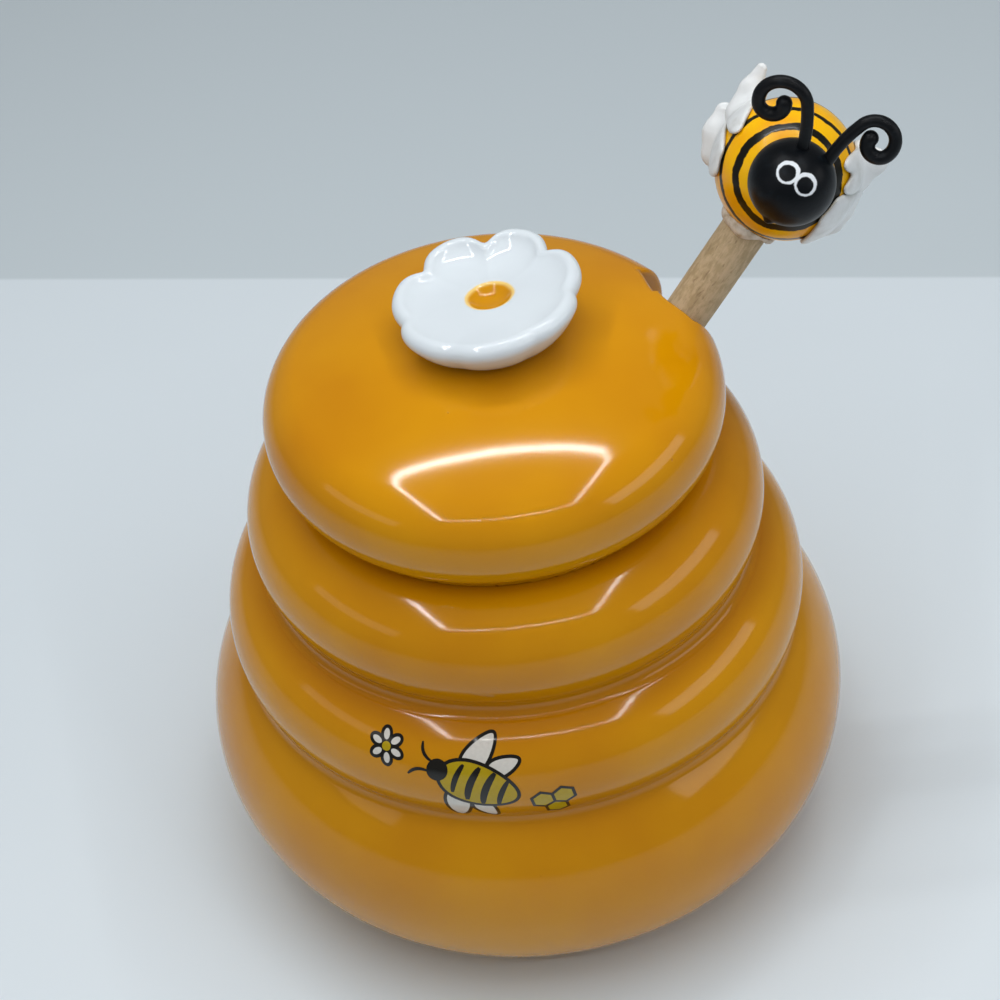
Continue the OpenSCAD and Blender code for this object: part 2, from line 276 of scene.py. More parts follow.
@dataclass
class Form:
    """A mesh in millimetres, with its normals where they are known."""

    points: np.ndarray
    faces: list[tuple[int, ...]]
    normals: Optional[np.ndarray] = None

    def placed(self, place: Place) -> "Form":
        """The same form at a place."""
        turned = None if self.normals is None else self.normals @ place.turn.T
        return Form(place.out(self.points), self.faces, turned)

    def piece(
        self,
        name: str,
        finish: bpy.types.Material,
        body: Body,
        slot: str,
        node: Optional[str] = None,
        crease: Optional[float] = None,
    ) -> bpy.types.Object:
        """Makes the object, dresses it and lets it ride.

        Args:
            name: name of the piece.
            finish: its material.
            body: the body that it rides on.
            slot: the record's material slot; not used.
            node: the node that it stands for.
            crease: angle in degrees above which edges stay sharp.

        Returns:
            The new object.
        """
        mesh = bpy.data.meshes.new(name)
        mesh.from_pydata((self.points * MM).tolist(), [], self.faces)
        mesh.validate()
        mesh.update()
        mesh.polygons.foreach_set("use_smooth", [True] * len(mesh.polygons))
        if crease is not None:
            mesh.set_sharp_from_angle(angle=math.radians(crease))
        if self.normals is not None:
            mesh.normals_split_custom_set_from_vertices(self.normals.tolist())
        mesh.materials.append(finish)
        made = bpy.data.objects.new(name, mesh)
        bpy.context.scene.collection.objects.link(made)
        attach(made, body.value)
        if node:
            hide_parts(node)
        LOG.info("piece %s: %d faces on %s", name, len(mesh.polygons), body.value)
        return made


def loft(rings: np.ndarray, caps: bool = True) -> Form:
    """Skins closed rings.

    Args:
        rings: array of rings x points x 3.
        caps: whether the first and the last ring are closed by a face.

    Returns:
        The skinned form.
    """
    count, size = rings.shape[:2]
    faces = []
    for i in range(count - 1):
        for k in range(size):
            n = (k + 1) % size
            faces.append((i * size + k, i * size + n, (i + 1) * size + n, (i + 1) * size + k))
    if caps:
        faces.append(tuple(range(size - 1, -1, -1)))
        faces.append(tuple((count - 1) * size + k for k in range(size)))
    return Form(rings.reshape(-1, 3), faces)


def revolve(outline: np.ndarray, steps: int = 288) -> Form:
    """Turns a section about the axis.

    Args:
        outline: points of radius and height, from the bottom to the top on the outside.
        steps: number of copies round the axis.

    Returns:
        The revolved form.
    """
    angle = np.linspace(0, 2 * math.pi, steps, endpoint=False)
    radius = np.maximum(outline[:, 0], 0.02)[:, None]
    height = np.repeat(outline[:, 1][:, None], steps, axis=1)
    return loft(np.stack([radius * np.cos(angle), radius * np.sin(angle), height], axis=-1))


def arc(centre: Sequence[float], radius: float, start: float, stop: float, step: float = 3.0) -> np.ndarray:
    """Points of an arc in the plane, with its angles in degrees.

    Args:
        centre: its centre.
        radius: its radius.
        start: angle of its first point.
        stop: angle of its last point.
        step: greatest angle between two points.

    Returns:
        The points.
    """
    count = max(2, int(abs(stop - start) / step) + 1)
    angle = np.radians(np.linspace(start, stop, count))
    return np.array(centre) + radius * np.stack([np.cos(angle), np.sin(angle)], axis=-1)


def heading(start: Sequence[float], stop: Sequence[float]) -> float:
    """Direction in degrees from one point to another in the plane."""
    return math.degrees(math.atan2(stop[1] - start[1], stop[0] - start[0]))


def bend(start: np.ndarray, via: np.ndarray, stop: np.ndarray, count: int) -> np.ndarray:
    """Points of a curve that leaves and arrives towards its middle point."""
    t = np.linspace(0, 1, count)[:, None]
    return (1 - t) ** 2 * start + 2 * t * (1 - t) * via + t**2 * stop


def joined(first: np.ndarray, second: np.ndarray, blend: float) -> np.ndarray:
    """Union of two fields with a soft seam."""
    h = np.clip(0.5 + 0.5 * (second - first) / blend, 0, 1)
    return second + (first - second) * h - blend * h * (1 - h)


def cut(first: np.ndarray, second: np.ndarray, blend: float) -> np.ndarray:
    """A field without another one, with a rounded edge."""
    return -joined(-first, second, blend)


def shared(first: np.ndarray, second: np.ndarray, blend: float) -> np.ndarray:
    """What two fields share, with a rounded edge."""
    return -joined(-first, -second, blend)


def net(shape: Field, low: Sequence[float], high: Sequence[float], step: float) -> Form:
    """Meshes the surface where a field is zero, with exact normals.

    Args:
        shape: distance outside a solid at an array of points, negative inside.
        low: lowest corner of the space that is searched.
        high: highest corner of it.
        step: size of the cells.

    Returns:
        The form of the surface.
    """
    low = np.array(low, float)
    counts = np.ceil((np.array(high, float) - low) / step).astype(int) + 1
    grid = low + step * np.stack(np.meshgrid(*[np.arange(c) for c in counts], indexing="ij"), axis=-1)
    value = shape(grid)
    inside = value < 0

    def corner(array: np.ndarray, offset: Sequence[int]) -> np.ndarray:
        """The array's values at one corner of every cell."""
        return array[tuple(slice(o, o + c - 1) for o, c in zip(offset, counts))]

    total = np.zeros((*(counts - 1), 3))
    hits = np.zeros(tuple(counts - 1))
    for a in np.ndindex(2, 2, 2):
        for axis in range(3):
            if a[axis]:
                continue
            b = tuple(1 if n == axis else a[n] for n in range(3))
            va, vb = corner(value, a), corner(value, b)
            crossed = corner(inside, a) != corner(inside, b)
            t = np.where(crossed, va / np.where(crossed, va - vb, 1), 0)
            for n in range(3):
                total[..., n] += np.where(crossed, a[n] + t * (n == axis), 0)
            hits += crossed
    used = hits > 0
    index = np.full(used.shape, -1)
    index[used] = np.arange(used.sum())
    cells = np.argwhere(used)
    points = low + step * (cells + total[used] / hits[used][:, None])
    faces: list[tuple[int, ...]] = []
    for axis in range(3):
        one, two = (axis + 1) % 3, (axis + 2) % 3
        start = np.moveaxis(inside, (axis, one, two), (0, 1, 2))
        cell = np.moveaxis(index, (axis, one, two), (0, 1, 2))
        crossed = start[:-1, 1:-1, 1:-1] != start[1:, 1:-1, 1:-1]
        i, j, k = np.nonzero(crossed)
        quad = np.stack([cell[i, j, k], cell[i, j + 1, k], cell[i, j + 1, k + 1], cell[i, j, k + 1]], axis=-1)
        outward = start[i, j + 1, k + 1]
        quad[~outward] = quad[~outward][:, ::-1]
        faces += [tuple(q) for q in quad.tolist()]
    nudge, rounds = 0.02, 4
    for _ in range(rounds):
        slope = [(shape(points + nudge * e) - shape(points - nudge * e)) / (2 * nudge) for e in np.eye(3)]
        slope = np.stack(slope, axis=-1)
        size = np.maximum((slope**2).sum(-1, keepdims=True), 0.05)
        points = points - np.clip(shape(points)[:, None] * slope / size, -0.4 * step, 0.4 * step)
    normals = slope / np.maximum(np.linalg.norm(slope, axis=-1, keepdims=True), 1e-6)
    return Form(points, faces, normals)


@dataclass(frozen=True)
class HoneyGlaze:
    """Thick glossy amber glaze, a little darker in a band round each valley between the coils and in its
    pits. Its heights are in metres.
    """

    tone: Colour = srgb(208, 143, 2)
    warm: Colour = srgb(196, 128, 2)
    valley_and_pit_tone: Colour = srgb(176, 108, 4)
    bare: Colour = srgb(222, 208, 186)
    valleys: tuple[float, ...] = (0.0487, 0.0669)
    foot: float = 0.0003

    def material(self) -> bpy.types.Material:
        """Builds the glaze."""
        kit = Kit("honey_glaze", ior=1.42)
        height = kit.along(kit.point, (0, 0, 1))
        clouds = kit.noise(28, 3)
        colour = kit.mix(self.tone, self.warm, clouds.rise(0.35, 0.75))
        # Darker in a band round the height of each valley between the coils.
        for valley in self.valleys:
            near = 1 - abs(height - valley).rise(0.0004, 0.0042)
            colour = kit.mix(colour, self.valley_and_pit_tone, near * 0.55)
        cells = kit.node("ShaderNodeTexVoronoi", {}, {"Vector": kit.point, "Scale": 190.0})
        pits = (1 - cells.rise(0.02, 0.055)) * kit.noise(60, 1).rise(0.6, 0.66)
        colour = kit.mix(colour, self.valley_and_pit_tone, pits * 0.7)
        bare = 1 - height.rise(self.foot, self.foot * 3)
        kit.colour(kit.mix(colour, self.bare, bare))
        kit.roughness(0.07 + clouds * 0.05 + bare * 0.7)
        kit.bump(kit.noise(45, 2) * 0.5 + kit.noise(420, 2) * 0.03 - pits * 0.4, 0.00035, 0.35)
        return kit.material


@dataclass(frozen=True)
class FlowerGlaze:
    """Glossy white glaze with an amber pool in the hollow at the centre, ringed by a pale painted highlight.
    """

    centre: np.ndarray
    pool: float
    white: Colour = srgb(221, 230, 236)
    shade: Colour = srgb(211, 220, 227)
    amber: Colour = srgb(206, 142, 2)
    # Pale yellow of the painted highlight round the pool's rim.
    edge: Colour = srgb(240, 206, 120)

    def material(self) -> bpy.types.Material:
        """Builds the glaze."""
        kit = Kit("flower_glaze")
        away = kit.away(self.centre) + kit.noise(400, 2) * 0.0004
        reach = self.pool * MM + 0.0004
        clouds = kit.noise(90, 3)
        colour = kit.mix(self.white, self.shade, clouds)
        # Painted highlight: a pale yellow ring round the rim of the amber pool.
        colour = kit.mix(colour, self.edge, 1 - away.rise(reach, reach + 0.0005))
        kit.colour(kit.mix(colour, self.amber, 1 - away.rise(reach - 0.0006, reach)))
        kit.roughness(0.06 + clouds * 0.05)
        kit.bump(kit.noise(160, 2), 0.00025, 0.3)
        return kit.material


@dataclass(frozen=True)
class Beech:
    """Sanded beech with fine dark flecks along the grain."""

    place: Place
    pale: Colour = srgb(206, 184, 150)
    brown: Colour = srgb(168, 148, 112)
    fleck: Colour = srgb(128, 104, 74)

    def material(self) -> bpy.types.Material:
        """Builds the wood, with its grain along the handle."""
        kit = Kit("beech")
        point = kit.vector("SUBTRACT", kit.point, tuple(self.place.origin * MM))
        across, beside, along = (kit.along(point, self.place.turn[:, n]) for n in range(3))

        def grain(width: float, length: float, detail: float, rough: float = 0.5) -> Signal:
            """Noise that is drawn out to a width across and a length along the grain, in metres."""
            drawn = {"X": across / width, "Y": beside / width, "Z": along / length}
            return kit.noise(1.0, detail, rough, kit.node("ShaderNodeCombineXYZ", {}, drawn))

        bands = grain(0.0032, 0.03, 3).rise(0.3, 0.75)
        fibre = grain(0.0004, 0.0035, 3, 0.6)
        mottle = grain(0.0011, 0.0024, 4, 0.65)
        flecks = grain(0.0004, 0.0016, 1).rise(0.62, 0.74)
        colour = kit.mix(self.pale, self.brown, bands * 0.4 + mottle.rise(0.36, 0.62) * 0.6)
        kit.colour(kit.mix(colour, self.fleck, flecks * 0.35 + fibre.rise(0.5, 0.75) * 0.25))
        kit.roughness(0.6 + fibre * 0.2)
        kit.bump(fibre * 0.6 + mottle * 0.6 - flecks * 0.4, 0.0003, 0.7)
        return kit.material


@dataclass(frozen=True)
class DriedGlue:
    """Cloudy dried glue."""

    milky: Colour = srgb(214, 206, 194)
    stained: Colour = srgb(178, 160, 132)

    def material(self) -> bpy.types.Material:
        """Builds the glue."""
        kit = Kit("dried_glue")
        clouds = kit.noise(700, 3)
        kit.colour(kit.mix(self.milky, self.stained, clouds.rise(0.4, 0.75)))
        kit.roughness(0.3 + clouds * 0.25)
        kit.bump(clouds, 0.0004, 0.5)
        return kit.material


@dataclass(frozen=True)
class StripedYellow:
    """Varnished yellow paint with thin black rings round the head, painted by hand.

    A ring is given by the angle of its middle from the face and half its width, in degrees, and so are
    the rings' slow wobble, their quick waver and the raggedness of their edges.
    """

    centre: np.ndarray
    face: np.ndarray
    up: np.ndarray
    lean: float = 4.0
    shift: float = -4.7
    wobble: float = 7.0
    waver: float = 2.4
    ragged: float = 0.8
    rings: tuple[tuple[float, float], ...] = ((45, 3.7), (66, 2.6), (93, 2.6), (122, 2.2))
    yellow: Colour = srgb(250, 190, 0)
    ochre: Colour = srgb(240, 162, 0)
    black: Colour = srgb(13, 12, 3)

    def material(self) -> bpy.types.Material:
        """Builds the paint."""
        kit = Kit("striped_yellow", 0.12, 1.36)
        away = kit.vector("SUBTRACT", kit.point, tuple(self.centre * MM))
        out = kit.node("ShaderNodeVectorMath", {"operation": "NORMALIZE"}, {0: away})
        wobble = kit.noise(130, 2) * self.wobble + kit.noise(700, 2) * self.waver
        angle = kit.along(out, self.face).turn() * (180 / math.pi) + wobble + self.shift
        angle = angle + kit.along(out, self.up) * self.lean
        colour = kit.mix(self.yellow, self.ochre, kit.noise(160, 3).rise(0.35, 0.8))
        hair = kit.noise(900, 2) * (2 * self.ragged) - self.ragged
        for middle, half in self.rings:
            line = 1 - (abs(angle - middle) + hair).rise(half - 0.3, half + 0.5)
            colour = kit.mix(colour, self.black, line)
        kit.colour(colour)
        kit.roughness(0.24 + kit.noise(400, 2) * 0.14)
        kit.bump(kit.noise(260, 3), 0.0003, 0.3)
        return kit.material


@dataclass(frozen=True)
class FacePaint:
    """Satin black paint with two white eye rings, brushed by hand. Its sizes are in millimetres."""

    eyes: tuple[np.ndarray, np.ndarray]
    drop: np.ndarray
    outer: float = 1.95
    inner: float = 1.4
    soft: float = 0.1
    ragged: float = 0.35
    black: Colour = srgb(7, 11, 16)
    worn: Colour = srgb(22, 32, 40)
    white: Colour = srgb(226, 232, 238)

    def material(self) -> bpy.types.Material:
        """Builds the paint."""
        kit = Kit("face_paint", ior=1.27)
        worn = kit.noise(420, 4, 0.6)
        colour = kit.mix(self.black, self.worn, worn.rise(0.5, 0.8) * 0.6)
        ragged = (kit.noise(1500, 3) - 0.5) * (self.ragged * MM)

        def disc(away: Signal, radius: float) -> Signal:
            """1 within a radius and 0 beyond it."""
            return 1 - away.rise((radius - self.soft) * MM, (radius + self.soft) * MM)

        rings = [disc(kit.away(eye) + ragged, self.outer) for eye in self.eyes]
        holes = [disc(kit.away(eye - self.drop) - ragged, self.inner) for eye in self.eyes]
        painted = rings[0].most(rings[1]) - holes[0].most(holes[1])
        kit.colour(kit.mix(colour, self.white, painted.most(0.0)))
        kit.roughness(0.3 + worn * 0.16)
        kit.bump(worn, 0.0002, 0.35)
        return kit.material


@dataclass(frozen=True)
class FeelerBlack:
    """Satin black coat on the feelers."""

    black: Colour = srgb(8, 11, 15)
    dusty: Colour = srgb(26, 32, 38)

    def material(self) -> bpy.types.Material:
        """Builds the coat."""
        kit = Kit("feeler_black", ior=1.3)
        dust = kit.noise(600, 4, 0.6)
        kit.colour(kit.mix(self.black, self.dusty, dust.rise(0.45, 0.8) * 0.5))
        kit.roughness(0.3 + dust * 0.22)
        kit.bump(dust, 0.00025, 0.4)
        return kit.material


@dataclass(frozen=True)
class WingClay:
    """White varnished clay, faintly clouded at random, with greyish painted shade at its roots where they
    meet the ball.
    """

    centre: np.ndarray
    reach: float
    root: float = 1.2
    white: Colour = srgb(232, 236, 238)
    grey_and_root_shade: Colour = srgb(176, 176, 170)

    def material(self) -> bpy.types.Material:
        """Builds the clay."""
        kit = Kit("wing_clay", 0.3)
        clouds = kit.noise(320, 3)
        away = kit.away(self.centre) + (clouds - 0.5) * 0.002
        # Painted shade: greyish where each wing's root meets the ball, within the root's width.
        near = 1 - away.rise(self.reach * MM, (self.reach + self.root) * MM)
        kit.colour(kit.mix(kit.mix(self.white, self.grey_and_root_shade, clouds * 0.12), self.grey_and_root_shade, near * 0.7))
        kit.roughness(0.24 + clouds * 0.16)
        kit.bump(clouds, 0.0003, 0.35)
        return kit.material


@dataclass(frozen=True)
class PrintInk:
    """One colour of the transfer under the pot's glaze."""

    name: str
    tone: Colour
    deeper: float = 0.82

    def material(self) -> bpy.types.Material:
        """Builds the ink, as glossy as the glaze over it."""
        kit = Kit(self.name)
        grain = kit.noise(1500, 2)
        kit.colour(kit.mix(self.tone, tuple(self.deeper * part for part in self.tone), grain))
        kit.roughness(0.08 + grain * 0.05)
        return kit.material


@dataclass
class Pot:
    """The coiled pot: three coils, a flat foot and an even wall."""

    belly: tuple[float, float] = (33.5, 27.0)
    belly_round: float = 26.5
    middle: tuple[float, float] = (40.2, 54.5)
    middle_round: float = 12.8
    collar: tuple[float, float] = (34.3, 76.0)
    collar_round: float = 12.0
    valley_round: float = 2.5
    wall: float = 4.5
    foot: float = 38.0
    mouth: float = 30.5
    mouth_edge: float = 1.0
    seat: float = 87.9

    def valley(self, low: Sequence[float], low_r: float, high: Sequence[float], high_r: float) -> np.ndarray:
        """Centre of the soft valley's circle, which touches two coils from outside.

        Args:
            low: centre of the lower coil.
            low_r: its radius.
            high: centre of the upper coil.
            high_r: its radius.

        Returns:
            The centre.
        """
        a, b = np.array(low), np.array(high)
        d = np.linalg.norm(b - a)
        u = (b - a) / d
        qa, qb = low_r + self.valley_round, high_r + self.valley_round
        x = (d * d + qa * qa - qb * qb) / (2 * d)
        return a + x * u + math.sqrt(qa * qa - x * x) * np.array([u[1], -u[0]])

    def wave(self, inset: float, start: float, stop: float) -> np.ndarray:
        """Section along the coils, inset by the wall.

        Args:
            inset: distance inside the outer form.
            start: angle on the belly coil where it begins.
            stop: angle on the top coil where it ends.

        Returns:
            Its points from the bottom to the top.
        """
        low = self.valley(self.belly, self.belly_round, self.middle, self.middle_round)
        high = self.valley(self.middle, self.middle_round, self.collar, self.collar_round)
        round_ = self.valley_round + inset
        turns = heading(self.middle, low), heading(self.middle, high)

        def dip(centre: np.ndarray, below: Sequence[float], above: Sequence[float]) -> np.ndarray:
            """The arc of one valley."""
            return arc(centre, round_, heading(centre, below) % 360, heading(centre, above) % 360)

        return np.concatenate(
            [
                arc(self.belly, self.belly_round - inset, start, heading(self.belly, low)),
                dip(low, self.belly, self.middle),
                arc(self.middle, self.middle_round - inset, *turns),
                dip(high, self.middle, self.collar),
                arc(self.collar, self.collar_round - inset, heading(self.collar, high), stop),
            ]
        )

    def outline(self) -> np.ndarray:
        """The whole section, from the foot up the outside and down the inside."""
        soft = 0.4
        foot_turn = -math.degrees(math.acos((self.foot - self.belly[0]) / self.belly_round))
        top = math.degrees(math.asin((self.seat - self.collar[1]) / self.collar_round))
        inner = self.collar_round - self.wall
        lip = math.degrees(math.acos((self.mouth - self.collar[0]) / inner))
        flat = self.collar[0] + self.collar_round * ray(top)[0]
        lip_c = (self.mouth + self.mouth_edge, self.seat - self.mouth_edge)
        ring = np.linspace(flat - 0.4, lip_c[0], 4)
        spread = (0, 8, 16, 24, 31)
        return np.concatenate(
            [
                [[r, 0.0] for r in (*spread, 36)],
                arc((self.foot - soft, soft), soft, -90, 0, 15),
                self.wave(0, foot_turn + 0.6, top - 1),
                [[r, self.seat] for r in ring],
                arc(lip_c, self.mouth_edge, 96, 180, 12),
                self.wave(self.wall, -90, lip)[::-1],
                [[r, self.belly[1] - self.belly_round + self.wall] for r in spread[::-1]],
            ]
        )

    def point(self, across: float, up: float, lift: float, azimuth: float) -> np.ndarray:
        """A point on the middle coil.

        Args:
            across: distance to the right along the coil.
            up: distance up the coil's round from its widest line.
            lift: distance off the glaze.
            azimuth: bearing of the middle of the print.

        Returns:
            The point in the shared frame.
        """
        tilt = up / self.middle_round
        radius = self.middle[0] + (self.middle_round + lift) * math.cos(tilt)
        bearing = math.radians(azimuth) + across / (self.middle[0] + self.middle_round)
        height = self.middle[1] + (self.middle_round + lift) * math.sin(tilt)
        return np.array([radius * math.cos(bearing), radius * math.sin(bearing), height])

    def build(self, glaze: bpy.types.Material) -> None:
        """Makes the pot."""
        revolve(self.outline()).piece("pot_shell", glaze, Body.POT, "honey_glaze", "pot", 40)


@dataclass
class Transfer:
    """A small printed bee of a plain design on the pot's middle coil, each ink lifted clear of the last."""

    pot: Pot
    azimuth: float = -101.5
    shift: tuple[float, float] = (0.0, 3.0)
    tilt: float = 160.0
    line: float = 0.62
    cell: float = 2.1
    petal_r: float = 2.1
    lift_white: float = 0.02
    lift_line: float = 0.03
    lift_yellow: float = 0.05
    lift_black: float = 0.07
    suffix: str = "front"

    def lay(self, shape: np.ndarray, lift: float) -> np.ndarray:
        """Flat points of the drawing, laid on the coil."""
        c, s = ray(self.tilt)
        flat = [(c * x - s * y + self.shift[0], s * x + c * y + self.shift[1]) for x, y in shape]
        return np.array([self.pot.point(x, y, lift, self.azimuth) for x, y in flat])

    def stroke(self, path: np.ndarray, width: float, lift: float, closed: bool = False) -> Form:
        """A line of the drawing, as a thin strip with tapered ends.

        Args:
            path: points along the middle of the line.
            width: its greatest width.
            lift: distance off the glaze.
            closed: whether it closes on itself.

        Returns:
            The strip on the coil.
        """
        if closed:
            way = np.roll(path, -1, 0) - np.roll(path, 1, 0)
            taper = np.ones(len(path))
        else:
            way = np.gradient(path, axis=0)
            t = np.linspace(0, 1, len(path))
            taper = 0.45 + 0.55 * np.sqrt(np.clip(np.sin(math.pi * t), 0, 1))
        side = np.stack([-way[:, 1], way[:, 0]], axis=-1)
        side = side / np.maximum(np.linalg.norm(side, axis=-1, keepdims=True), 1e-9)
        half = side * (taper * width / 2)[:, None]
        points = np.concatenate([self.lay(path - half, lift), self.lay(path + half, lift)])
        count = len(path)
        last = count if closed else count - 1
        faces = [(i, (i + 1) % count, count + (i + 1) % count, count + i) for i in range(last)]
        return Form(points, faces)

    def patch(self, edge: np.ndarray, lift: float) -> Form:
        """A filled shape of the drawing that follows the coil's round.

        Args:
            edge: points round the shape.
            lift: distance off the glaze.

        Returns:
            The patch on the coil.
        """
        middle = edge.mean(axis=0)
        rings = [self.lay(middle + (edge - middle) * share, lift) for share in (1, 0.8, 0.6, 0.4, 0.2, 0.04)]
        made = loft(np.array(rings), caps=False)
        size = len(edge)
        made.faces.append(tuple((len(rings) - 1) * size + k for k in range(size)))
        return made

    @staticmethod
    def oval(
        centre: Sequence[float], width: float, height: float, turn: float, point: float = 0.0
    ) -> np.ndarray:
        """Points round an oval that may run to a point at one end.

        Args:
            centre: its middle.
            width: its length along its own axis.
            height: its size across.
            turn: angle of its axis in degrees.
            point: how far it narrows towards its end.

        Returns:
            The points.
        """
        a = np.linspace(0, 2 * math.pi, 48, endpoint=False)
        x = width / 2 * np.cos(a)
        y = height / 2 * np.sin(a) * (1 - point * np.cos(a))
        c, s = ray(turn)
        return np.array(centre) + np.stack([c * x - s * y, s * x + c * y], axis=-1)

    def build(self, black: bpy.types.Material, yellow: bpy.types.Material, white: bpy.types.Material) -> None:
        """Prints a bee seen from above, between a blossom and three cells of comb.

        Args:
            black: ink of the lines.
            yellow: ink of the body and the comb.
            white: ink of the wings and the petals.
        """
        body = self.oval((0, 0), 14.5, 8.6, 0, -0.12)
        wings = [
            self.oval((x, side * y), long, wide, side * turn, 0.3)
            for side in (-1, 1)
            for x, y, long, wide, turn in ((1.8, 6.0, 9.0, 4.4, 108), (-3.0, 5.2, 6.4, 3.4, 138))
        ]
        blossom, spokes = np.array([17.6, 1.2]), range(0, 360, 60)
        petals = [self.oval(blossom + self.petal_r * ray(turn), 2.6, 1.8, turn) for turn in spokes]
        step = self.cell * math.sqrt(3) / 2
        comb = [
            np.array([centre + self.cell * ray(turn) for turn in spokes])
            for centre in np.array([(-11.6, 0), (-14.75, step), (-14.75, -step)])
        ]
        dark = [self.patch(self.oval((7.6, 0), 3.8, 4.2, 0), self.lift_black)]
        dark += [self.stroke(edge, self.line, self.lift_line, True) for edge in wings + petals]
        dark += [self.stroke(edge, self.line, self.lift_black, True) for edge in (body, *comb)]
        for x, width in ((-4.2, 1.0), (-1.4, 1.3), (1.4, 1.3), (4.1, 1.0)):
            tall = 3.7 * math.sqrt(1 - (x / 7.0) ** 2)
            y = np.linspace(-tall, tall, 12)
            dark.append(self.stroke(np.stack([x - 0.045 * y**2, y], axis=-1), width, self.lift_black))
        for side in (-1, 1):
            root, via, end = np.array([(9.0, 1.0), (11.4, 1.1), (12.0, 3.4)]) * (1, side)
            dark.append(self.stroke(bend(root, via, end, 12), self.line, self.lift_black))
        gold = [body, *comb, self.oval(blossom, 1.7, 1.7, 0)]
        for ink, tone, forms in (
            (white, "white", [self.patch(edge, self.lift_white) for edge in wings + petals]),
            (yellow, "yellow", [self.patch(edge, self.lift_yellow) for edge in gold]),
            (black, "black", dark),
        ):
            self.merge(forms).piece(f"print_{tone}_{self.suffix}", ink, Body.POT, "honey_glaze")

    @staticmethod
    def merge(forms: Sequence[Form]) -> Form:
        """Several forms as one.

        Args:
            forms: the forms.

        Returns:
            The form that holds them all.
        """
        points, faces, base = [], [], 0
        for form in forms:
            points.append(form.points)
            faces += [tuple(base + i for i in f) for f in form.faces]
            base += len(form.points)
        return Form(np.concatenate(points), faces)


@dataclass
class Dipper:
    """The turned honey dipper and its place, which the bee shares."""

    azimuth: float = 17.4
    tilt: float = 39.0513
    end: tuple[float, float] = (-37.8563, 10.5458)
    head: float = 22.0
    ridges: int = 7
    ridge: float = 2.2
    groove: float = 2.0
    crown: float = 0.62
    core: float = 10.0
    neck: float = 6.8
    handle: float = 8.1
    reach: float = 150.0
    socket: float = 8.0
    ball: float = 24.4

    def place(self) -> Place:
        """The dipper's own frame, with +Z up its handle."""
        turn = about("Z", self.azimuth)
        return Place(turn, turn @ np.array([self.end[0], 0, self.end[1]])).child(about("Y", self.tilt))

    def outline(self) -> np.ndarray:
        """Section of the head, the neck and the handle."""
        length = self.ridges * (self.ridge + self.groove) - self.groove
        rows: list[np.ndarray] = [np.array([[0.0, 0.0]])]
        for i in range(self.ridges):
            z = self.ridge / 2 + i * (self.ridge + self.groove)
            r = self.head / 2 * math.sqrt(1 - (self.crown * (2 * z / length - 1)) ** 2) - self.ridge / 2
            rows.append(arc((r, z), self.ridge / 2, -90, 90, 15))
            if i < self.ridges - 1:
                a, b = z + self.ridge / 2, z + self.ridge / 2 + self.groove
                rows.append(np.array([[self.core / 2 + 0.4, a], [self.core / 2, a + 0.3],
                                      [self.core / 2, b - 0.3], [self.core / 2 + 0.4, b]]))
        top = self.reach - self.ball / 2 + self.socket
        rows.append(np.array([[self.core / 2, length], [self.core / 2, length + 0.6]]))
        rows.append(bend(np.array([self.core / 2, length + 0.6]), np.array([self.neck / 2, length + 2.5]),
                         np.array([self.neck / 2, length + self.core / 2]), 8))
        rows.append(np.array([[self.handle / 2, self.reach - self.ball], [self.handle / 2, top], [0.0, top]]))
        return np.concatenate(rows)

    def build(self) -> None:
        """Makes the dipper."""
        place = self.place()
        form = revolve(self.outline(), 96).placed(place)
        form.piece("dipper_wood", Beech(place).material(), Body.DIPPER, "beech", "dipper", 45)


